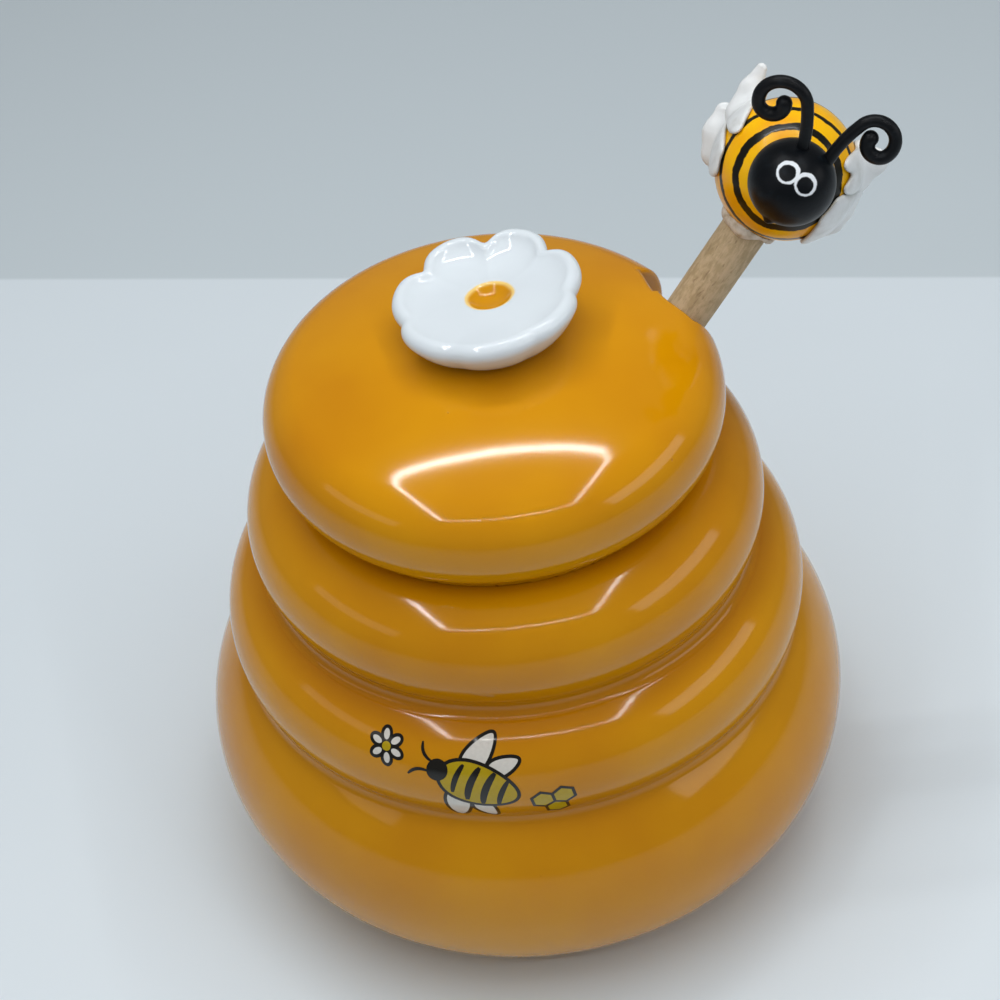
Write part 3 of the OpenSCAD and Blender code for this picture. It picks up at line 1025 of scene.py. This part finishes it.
@dataclass
class Lid:
    """The cushion-shaped lid with its hollow, its flange and its notch."""

    dipper: Dipper
    edge: tuple[float, float] = (30.1, 98.1)
    edge_round: float = 10.0
    crown: float = 15.0
    seat: float = 87.9
    seat_r: float = 35.0
    wall: float = 4.5
    flange: float = 29.7
    flange_h: float = 4.0
    flange_t: float = 3.6
    near_gap: float = 0.4
    back_gap: float = 6.0
    end_gap: float = 1.4
    flat: float = 1.0
    near_corner: float = 3.5
    back_corner: float = 7.0
    seam: float = 0.6
    soft: float = 0.8
    throat_over: float = 4.0
    crown_under: float = 2.0
    notch_blend: float = 3.0
    notch_edge: float = 1.1

    def dome(self) -> tuple[float, float]:
        """Radius of the crown's sphere and the height of its centre."""
        r, h, e = self.edge[0], self.crown, self.edge_round
        radius = (r * r + h * h - e * e) / (2 * (h - e))
        return radius, self.edge[1] + h - radius

    def cushion(self, radius: np.ndarray, height: np.ndarray, inset: float, floor: float) -> np.ndarray:
        """Distance outside the cushion form.

        Args:
            radius: distances from the axis.
            height: heights.
            inset: how far the form lies inside the lid's outside.
            floor: height from which the crown takes over from the coil.

        Returns:
            The distances.
        """
        sphere, middle = self.dome()
        lean = math.atan2(self.edge[0], self.edge[1] - middle)
        coil = np.hypot(radius - self.edge[0], height - self.edge[1]) - self.edge_round + inset
        dome = np.hypot(radius, height - middle) - sphere + inset
        above = (np.arctan2(radius, height - middle) < lean) & (height > floor)
        return np.where(above, dome, coil)

    def solid(self, points: np.ndarray) -> np.ndarray:
        """Distance outside the lid.

        Args:
            points: places in the shared frame.

        Returns:
            The distances.
        """
        radius, height = np.hypot(points[..., 0], points[..., 1]), points[..., 2]
        middle, bottom = self.edge[1], self.seat - self.flange_h
        outer = np.maximum(self.cushion(radius, height, 0, 0), self.seat - height)
        seat = np.maximum.reduce([radius - self.seat_r, self.seat - height, height - middle])
        outer = joined(outer, seat, self.seam)
        flange = shared(np.maximum(radius - self.flange, height - middle), bottom - height, self.soft)
        outer = joined(outer, flange, self.seam)
        throat = np.maximum(radius - self.flange + self.flange_t, height - middle - self.throat_over)
        hollow = self.cushion(radius, height, self.wall, middle - self.crown_under)
        shell = cut(outer, joined(hollow, throat, self.soft), self.soft)
        slot, corners = self.notch(points)
        return cut(shell, joined(slot, corners, self.notch_blend), self.notch_edge)

    def notch(self, points: np.ndarray) -> tuple[np.ndarray, np.ndarray]:
        """Distances outside the slot for the handle and outside its two rounded corners.

        Args:
            points: places in the shared frame.

        Returns:
            The distances from the slot and from its corners.
        """
        half = (self.dipper.handle + self.near_gap + self.back_gap) / 2
        shift = (self.back_gap - self.near_gap) / 2
        end = self.dipper.handle / 2 + self.end_gap
        round_ = half - self.flat / 2
        local = self.dipper.place().into(points)
        beside = np.abs(local[..., 1] - shift)
        deep, wide = -local[..., 0] - end + round_, beside - half + round_
        slot = np.hypot(np.maximum(deep, 0), np.maximum(wide, 0))
        slot = slot + np.minimum(np.maximum(deep, wide), 0) - round_
        out = points[..., :2] @ ray(self.dipper.azimuth)
        corner = np.where(local[..., 1] > shift, self.back_corner, self.near_corner)
        start = self.edge[0] + self.edge_round - corner
        outer = half + corner
        ring = corner - np.hypot(out - start, beside - outer)
        return slot, np.maximum.reduce([start - out, beside - outer, ring, self.seat - points[..., 2]])

    def build(self, glaze: bpy.types.Material) -> None:
        """Makes the lid."""
        reach = self.edge[0] + self.edge_round + 1
        low = (-reach, -reach, self.seat - self.flange_h - 1)
        high = (reach, reach, self.edge[1] + self.crown + 1)
        net(self.solid, low, high, 0.62).piece("lid_shell", glaze, Body.LID, "honey_glaze", "lid")


@dataclass
class Flower:
    """The flower knob: a scalloped bowl with round edges, whose underside runs down to the lid."""

    petals: int = 7
    tip: float = 16.4
    notch: float = 13.6
    edge_front: float = 1.9
    edge_back: float = 1.25
    softness: float = 0.3
    rise: float = 3.4
    height: float = 7.4
    foot: float = 10.0
    eye: float = 3.8
    eye_depth: float = 1.6
    hollow: tuple[tuple[float, float], ...] = (
        (0.05, -1.0), (0.35, -0.97), (0.6, -0.8), (0.8, -0.52), (0.95, -0.22), (1.06, -0.06),
    )
    pool: float = 0.3
    front_gap: float = 0.22
    front_rise: float = 0.3
    dip: float = 0.9
    skew: float = 0.5
    hang: float = 1.2
    shift: float = 2.6
    shift_az: float = 55.0
    tilt: float = 9.0
    tilt_az: float = 130.0
    gap_az: float = 88.0
    land: float = 112.264

    def place(self) -> Place:
        """The tilted frame of the bowl, with its floor at height 0."""
        origin = np.array([*(self.shift * ray(self.shift_az)), self.land + self.height])
        return Place(about("Z", self.tilt_az) @ about("Y", self.tilt) @ about("Z", -self.tilt_az), origin)

    def section(self, azimuth: float) -> tuple[np.ndarray, np.ndarray]:
        """Section of the bowl in one direction.

        Args:
            azimuth: the direction in degrees.

        Returns:
            Its points from the centre out over the edge, and where its underside heads.
        """
        swing = ray(self.petals / 2 * (azimuth - self.gap_az))[1] ** 2
        petal = (1 + self.softness) * swing / (swing + self.softness)
        back = 0.5 + 0.5 * ray(azimuth - self.gap_az)[0]
        gap = (1 - petal) * (self.front_gap + (1 - self.front_gap) * back**1.5)
        edge_r = self.edge_front + (self.edge_back - self.edge_front) * back
        top = self.front_rise + (self.rise - self.front_rise) * back**1.4 - self.dip * gap
        tip = self.tip - self.skew * ray(azimuth)[0]
        lip = np.array([tip - (self.tip - self.notch) * gap - edge_r, top - edge_r])

        def rim(turn: float) -> np.ndarray:
            """A point on the round edge."""
            return lip + edge_r * ray(turn)

        def past(turn: float, height: float) -> np.ndarray:
            """Where the edge's tangent at a turn meets a height."""
            start, way = rim(turn), ray(turn - 90)
            return start + way * (height - start[1]) / way[1]

        inner, outer = 96 + 50 * back, -30
        eye = np.array(self.hollow) * [self.eye, self.eye_depth]
        floor = bend(np.array([self.eye + 0.8, 0]), past(inner, -0.15), rim(inner), 20)
        share = np.clip((floor[:, 0] - self.eye) / (lip[0] - self.eye), 0, 1)
        floor[:, 1] += 0.15 * gap * np.sin(math.pi * share**1.8)
        edge = np.array([rim(a) for a in np.linspace(inner - 6, outer, 20)])
        return np.concatenate([eye, floor, edge]), past(outer, self.hang - self.height)

    def build(self) -> None:
        """Makes the flower."""
        place, lines = self.place(), []
        centre = np.array([place.origin[0], place.origin[1], self.land])
        for azimuth in np.linspace(0, 360, 24 * self.petals, endpoint=False):
            out = np.array([*ray(azimuth), 0])
            section, under = self.section(azimuth)
            upper = place.out(np.outer(section[:, 0], out) + np.outer(section[:, 1], [0, 0, 1]))
            way = place.out(under[0] * out + [0, 0, under[1]])
            lower = bend(upper[-1], way, centre + self.foot * out, 14)[1:]
            base = [centre + self.foot * share * out for share in (0.85, 0.5, 0.01)]
            lines.append(np.concatenate([upper, lower, base]))
        bowl = loft(np.swapaxes(np.array(lines), 0, 1)[::-1])
        glaze = FlowerGlaze(place.out(np.array([0, 0, -self.pool])), self.eye).material()
        bowl.piece("flower_bowl", glaze, Body.LID, "white_glaze", "flower_knob", 60)


@dataclass
class Bee:
    """The bee on the dipper: body, head, feelers, wings and the glue that holds it."""

    dipper: Dipper
    turn: float = -133.0
    ball: float = 12.2
    face: float = 7.25
    reach: float = 16.4
    yaw: float = 7.5
    pitch: float = 10.0
    nub: float = 0.9
    nub_turn: float = 8.0
    nub_sunk: float = 0.3
    dent: float = 0.06
    feeler: float = 1.1
    feeler_slim: float = 0.95
    feeler_growth: float = 0.28
    root: float = 2.5
    wing: float = 1.3
    wing_fold: float = 0.12
    wing_seam: float = 0.8
    pad: float = 0.9
    pad_edge: float = 1.3
    pad_blend: float = 2.4
    back: tuple[float, float] = (3.0, 5.0)
    bead: float = 1.05
    eyes: tuple[tuple[float, ...], ...] = ((6.72, -2.27, 1.51), (7.0, 1.24, 1.4))
    eye_drop: float = 0.2

    def place(self) -> Place:
        """Frame of the body: +Z up the handle and +X out of the face."""
        return self.dipper.place().child(about("Z", self.turn), (0, 0, self.dipper.reach))

    def face_place(self) -> Place:
        """Frame of the head: +X out of the face."""
        aim = about("Z", self.yaw) @ about("Y", -self.pitch)
        return self.place().child(aim, aim @ np.array([self.reach, 0, 0]))

    def body(self, paint: bpy.types.Material) -> None:
        """Makes the yellow ball, pressed a little out of round by hand.

        Args:
            paint: its paint.
        """
        count = 64
        up = math.pi * np.arange(1, count) / count
        around = np.linspace(0, 2 * math.pi, 2 * count, endpoint=False)
        x, y = (np.outer(np.sin(up), wave(around)) for wave in (np.cos, np.sin))
        z = np.repeat(-np.cos(up)[:, None], 2 * count, axis=1)
        dent = self.dent * (np.sin(3.1 * x + 1) * np.sin(2.7 * y) * np.sin(3.4 * z + 2) - 1)
        form = loft(np.stack([x, y, z], axis=-1) * (self.ball + dent)[..., None])
        form.placed(self.place()).piece("bee_ball", paint, Body.DIPPER, "yellow_clay", "bee_body")

    def head(self, paint: bpy.types.Material) -> None:
        """Makes the black head with its chin nub, seated on the body.

        Args:
            paint: its paint.
        """
        place, body = self.face_place(), self.place().origin
        chin = about("Y", -self.nub_turn) @ np.array([0, 0, self.nub_sunk - self.face])

        def solid(points: np.ndarray) -> np.ndarray:
            """Distance outside the head."""
            local = place.into(points)
            skull = np.linalg.norm(local, axis=-1) - self.face
            nub = np.linalg.norm(local - chin, axis=-1) - self.nub
            seat = np.linalg.norm(points - body, axis=-1) - self.ball
            return cut(joined(skull, nub, 0.5), seat, 0.3)

        low, high = place.origin - self.face - 1.5, place.origin + self.face + 1.5
        net(solid, low, high, 0.32).piece("bee_face", paint, Body.DIPPER, "black_clay", "bee_head")

    def feelers(self, coat: bpy.types.Material) -> None:
        """Makes the two curled feelers, each swept along its arcs.

        Args:
            coat: their coat.
        """
        left = (-1, 17.0, 30.0, 19.0, ((30.0, 15.0), (4.0, 180.0), (2.1, 180.0)))
        right = (1, 22.0, 17.0, -2.0, ((23.0, 20.0), (3.3, 180.0), (2.0, 170.0)))
        for name, (side, lean, fore, stem, arcs) in (("left", left), ("right", right)):
            at = self.face_place().child(about("Y", fore) @ about("X", -side * lean))
            at = at.child(about("X", side * (lean - stem)) @ about("Z", side * 90), (0, 0, self.face))
            form = self.tube(arcs).placed(at)
            form.piece(f"feeler_{name}", coat, Body.DIPPER, "black_clay", f"antenna_{name}", 60)

    def tube(self, arcs: Sequence[tuple[float, float]]) -> Form:
        """Sweeps one feeler along arcs of radius and angle, with a round tip.

        Args:
            arcs: radius and angle of each arc.

        Returns:
            The feeler.
        """
        line = [(0.0, -self.root, 0.0), (0.0, -0.2, 0.0)]
        x, z, h = 0.0, 0.0, 0.0
        for radius, turn in arcs:
            steps = max(4, int(turn / 6))
            cx, cz = x + radius * math.cos(h), z - radius * math.sin(h)
            for k in range(1, steps + 1):
                g = h + math.radians(turn) * k / steps
                line.append((cx - radius * math.cos(g), cz + radius * math.sin(g), g))
            x, z, h = line[-1]
        count = len(line)
        grown = [self.feeler_slim + self.feeler_growth * (i / count) ** 2 for i in range(count)]
        stations = [(*p, self.feeler * size) for p, size in zip(line, grown)]
        tip = stations[-1][3]
        for b in (15, 30, 45, 60, 75, 86):
            c, s = ray(b)
            stations.append((x + tip * s * math.sin(h), z + tip * s * math.cos(h), h, tip * c))
        a = np.linspace(0, 2 * math.pi, 24, endpoint=False)
        rings = []
        for x, z, h, r in stations:
            wide = r * np.cos(a)
            rings.append(np.stack([x + wide * math.cos(h), r * np.sin(a), z - wide * math.sin(h)], axis=-1))
        return loft(np.array(rings))

    def wings(self, clay: bpy.types.Material) -> None:
        """Makes the four pressed wings, each a soft lobe with a crease along it.

        Args:
            clay: their finish.
        """
        lobes = {
            "upper_left": ((12.0, 3.1, 2.4), (12.6, 7.3, 2.0), (13.1, 11.1, 1.0)),
            "lower_left": ((14.3, 0.9, 1.7), (13.0, -2.6, 2.9), (11.5, -5.9, 2.7)),
            "upper_right": ((9.0, 8.6, 1.9), (11.4, 8.9, 2.3), (11.1, 4.9, 1.6)),
            "lower_right": ((11.2, 2.2, 1.7), (11.5, -1.5, 2.1), (11.5, -4.2, 2.0), (10.0, -7.9, 1.3)),
        }
        for name, points in lobes.items():
            back = self.back[name.startswith("lower")]
            form = self.one_wing(points, back, -1 if name.endswith("left") else 1)
            form.piece(f"wing_{name}_clay", clay, Body.DIPPER, "white_clay", f"wing_{name}")

    def one_wing(self, lobes: Sequence[tuple[float, float, float]], back: float, side: int) -> Form:
        """The surface of one wing: a soft blade and the root that is pressed on the ball.

        Args:
            lobes: centres and radii of its outline, seen from the front.
            back: how far the blade lies behind the ball's middle.
            side: -1 for the left side and 1 for the right.

        Returns:
            The wing.
        """
        place, body = self.place(), self.place().origin
        widest = max(r for _, _, r in lobes)

        def solid(points: np.ndarray) -> np.ndarray:
            """Distance outside the wing."""
            local = place.into(points)
            y, z = side * local[..., 1], local[..., 2]
            fold = self.wing_fold * np.sin(1.1 * (y - 0.4 * z) + back)
            x = (local[..., 0] + back + fold) * widest / self.wing
            blade = outline = None
            for (ay, az, ar), (by, bz, br) in zip(lobes, lobes[1:]):
                dy, dz = by - ay, bz - az
                t = np.clip(((y - ay) * dy + (z - az) * dz) / (dy * dy + dz * dz), 0, 1)
                flat = np.hypot(y - ay - t * dy, z - az - t * dz)
                reach = ar + t * (br - ar)
                thick, edge = np.hypot(flat, x) - reach, flat - reach
                blade = thick if blade is None else joined(blade, thick, self.wing_seam)
                outline = edge if outline is None else joined(outline, edge, self.wing_seam)
            off = np.linalg.norm(points - body, axis=-1) - self.ball
            pad = shared(off - self.pad, outline + 0.1, self.pad_edge)
            pad = shared(pad, -local[..., 0] - back, self.pad_edge)
            return cut(joined(blade * self.wing / widest, pad, self.pad_blend), off + 0.05, 0.25)

        ends = [(x, side * y, z) for x in (-back - 2.4, 9.5) for y in (5, 17.5) for z in (-11, 14)]
        corners = [place.out(np.array(end)) for end in ends]
        return net(solid, np.min(corners, axis=0), np.max(corners, axis=0), 0.3)

    def glue(self, dried: bpy.types.Material) -> None:
        """Makes the uneven bead of glue round the handle at the body.

        Args:
            dried: its finish.
        """
        place, body = self.dipper.place(), self.place().origin
        level = self.dipper.reach - math.sqrt(self.ball**2 - (self.dipper.handle / 2 + 0.7) ** 2)

        def solid(points: np.ndarray) -> np.ndarray:
            """Distance outside the bead."""
            local = place.into(points)
            around = np.arctan2(local[..., 1], local[..., 0])
            ring = np.hypot(local[..., 0], local[..., 1]) - self.dipper.handle / 2 - 0.35
            thick = self.bead + 0.3 * np.sin(2 * around + 0.6) + 0.18 * np.sin(5 * around)
            bead = np.hypot(ring, (local[..., 2] - level - 0.2 * np.sin(3 * around)) * 0.8) - thick
            return cut(bead, np.linalg.norm(points - body, axis=-1) - self.ball + 0.1, 0.2)

        middle = place.out(np.array([0, 0, level]))
        form = net(solid, middle - 7.5, middle + 7.5, 0.35)
        form.piece("glue_bead", dried, Body.DIPPER, "glue", "glue_collar")

    def build(self) -> None:
        """Makes every part of the bee and dresses it."""
        centre, face = self.place(), self.face_place()
        toward = (face.origin - centre.origin) / np.linalg.norm(face.origin - centre.origin)
        eyes = tuple(face.out(np.array(eye)) for eye in self.eyes)
        self.body(StripedYellow(centre.origin, toward, centre.turn[:, 2]).material())
        self.head(FacePaint(eyes, self.eye_drop * face.turn[:, 2]).material())
        self.feelers(FeelerBlack().material())
        self.wings(WingClay(centre.origin, self.ball).material())
        self.glue(DriedGlue().material())


@dataclass(frozen=True)
class Lamp:
    """A rectangular lamp that faces down unless it leans, in millimetres, watts and degrees."""

    name: str
    at: tuple[float, float, float]
    size: tuple[float, float]
    watts: float
    turn: float = 0.0
    lean: float = 0.0
    mirrored: bool = True

    def build(self) -> None:
        """Hangs the lamp."""
        data = bpy.data.lights.new(self.name, "AREA")
        data.shape = "RECTANGLE"
        data.size, data.size_y = (side * MM for side in self.size)
        data.energy = self.watts
        lamp = bpy.data.objects.new(self.name, data)
        lamp.location = [value * MM for value in self.at]
        lamp.rotation_euler = (0, math.radians(self.lean), math.radians(self.turn))
        lamp.visible_glossy = self.mirrored
        bpy.context.scene.collection.objects.link(lamp)


@dataclass
class Studio:
    """The camera at the photograph's place, the pale floor and the plain lights."""

    back: float = 322.5
    height: float = 386.7
    yaw: float = -0.003
    pitch: float = 0.770
    roll: float = -0.123
    focal: float = 2.5
    floor: Colour = srgb(224, 235, 243)
    far_shade_and_mottle: Colour = srgb(202, 214, 221)
    floor_reach: float = 4000.0
    horizon: tuple[float, float, float] = (0.186, 0.983, 0.0)
    horizon_away: float = 151.2
    horizon_soft: float = 1.5
    room: Colour = (0.94, 0.95, 0.95)
    room_strength: float = 0.22
    lamps: tuple[Lamp, ...] = (
        Lamp("panel", (0, -60, 605), (500, 500), 0.95, mirrored=False),
        Lamp("strip_back", (0, 135, 600), (380, 9), 0.7),
        Lamp("strip_front", (0, -430, 600), (600, 5), 0.42),
        Lamp("strip_left", (-245, -148, 600), (7, 576), 0.8, -11),
        Lamp("strip_right", (245, -148, 600), (7, 576), 0.6, 11),
        Lamp("window_right", (600, -220, 350), (180, 560), 0.55, -20, 62),
        Lamp("window_left", (-600, -220, 350), (120, 460), 0.13, 200, 62),
    )

    def camera(self) -> None:
        """Makes the camera."""
        data = bpy.data.cameras.new("camera")
        data.sensor_width = 36
        data.lens = self.focal * data.sensor_width
        data.clip_start = 0.01
        eye = bpy.data.objects.new("camera", data)
        bpy.context.scene.collection.objects.link(eye)
        level = math.cos(self.pitch)
        forward = Vector((math.sin(self.yaw) * level, math.cos(self.yaw) * level, -math.sin(self.pitch)))
        right = Vector((math.cos(self.yaw), -math.sin(self.yaw), 0))
        up = right.cross(forward)
        c, s = math.cos(self.roll), math.sin(self.roll)
        side, top = right * c + up * s, up * c - right * s
        stand = Vector((0, -self.back, self.height)) * MM
        eye.matrix_world = Matrix.Translation(stand) @ Matrix((side, top, -forward)).transposed().to_4x4()
        bpy.context.scene.camera = eye

    def ground(self) -> None:
        """Makes the pale floor, a little darker beyond the photograph's horizon."""
        far = self.floor_reach * MM
        mesh = bpy.data.meshes.new("floor")
        mesh.from_pydata([(-far, -far, 0), (far, -far, 0), (far, far, 0), (-far, far, 0)], [], [(0, 1, 2, 3)])
        kit = Kit("pale_floor")
        edge = self.horizon_away * MM
        # Painted shade: beyond the horizon line the floor takes a darker tone, standing in for the dimmer
        # wall there; below it the same tone mottles the floor at random.
        beyond = kit.along(kit.point, self.horizon).rise(edge, edge + self.horizon_soft * MM)
        near = kit.mix(self.floor, self.far_shade_and_mottle, kit.noise(9, 3) * 0.25)
        kit.colour(kit.mix(near, self.far_shade_and_mottle, beyond))
        kit.roughness(0.6)
        mesh.materials.append(kit.material)
        made = bpy.data.objects.new("floor", mesh)
        bpy.context.scene.collection.objects.link(made)

    def lights(self) -> None:
        """Makes the even room light and hangs the lamps."""
        world = bpy.data.worlds.new("room")
        world.use_nodes = True
        light = world.node_tree.nodes["Background"].inputs
        light["Color"].default_value = (*self.room, 1)
        light["Strength"].default_value = self.room_strength
        bpy.context.scene.world = world
        for lamp in self.lamps:
            lamp.build()

    def build(self) -> None:
        """Sets up the whole studio."""
        self.camera()
        self.ground()
        self.lights()
        bpy.context.scene.view_settings.view_transform = "Standard"


def main() -> None:
    """Builds the studio, then every sub-assembly."""
    logging.basicConfig(level=logging.INFO, format="%(message)s")
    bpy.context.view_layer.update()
    Studio().build()
    glaze = HoneyGlaze().material()
    pot, dipper = Pot(), Dipper()
    pot.build(glaze)
    Lid(dipper).build(glaze)
    Flower().build()
    dipper.build()
    Bee(dipper).build()
    tones = {"black": srgb(20, 17, 10), "yellow": srgb(186, 158, 4), "white": srgb(226, 222, 214)}
    inks = [PrintInk(f"ink_{name}", tone).material() for name, tone in tones.items()]
    Transfer(pot).build(*inks)
    Transfer(pot, azimuth=30.0, tilt=196.0, suffix="side").build(*inks)


if __name__ == "__main__":
    main()
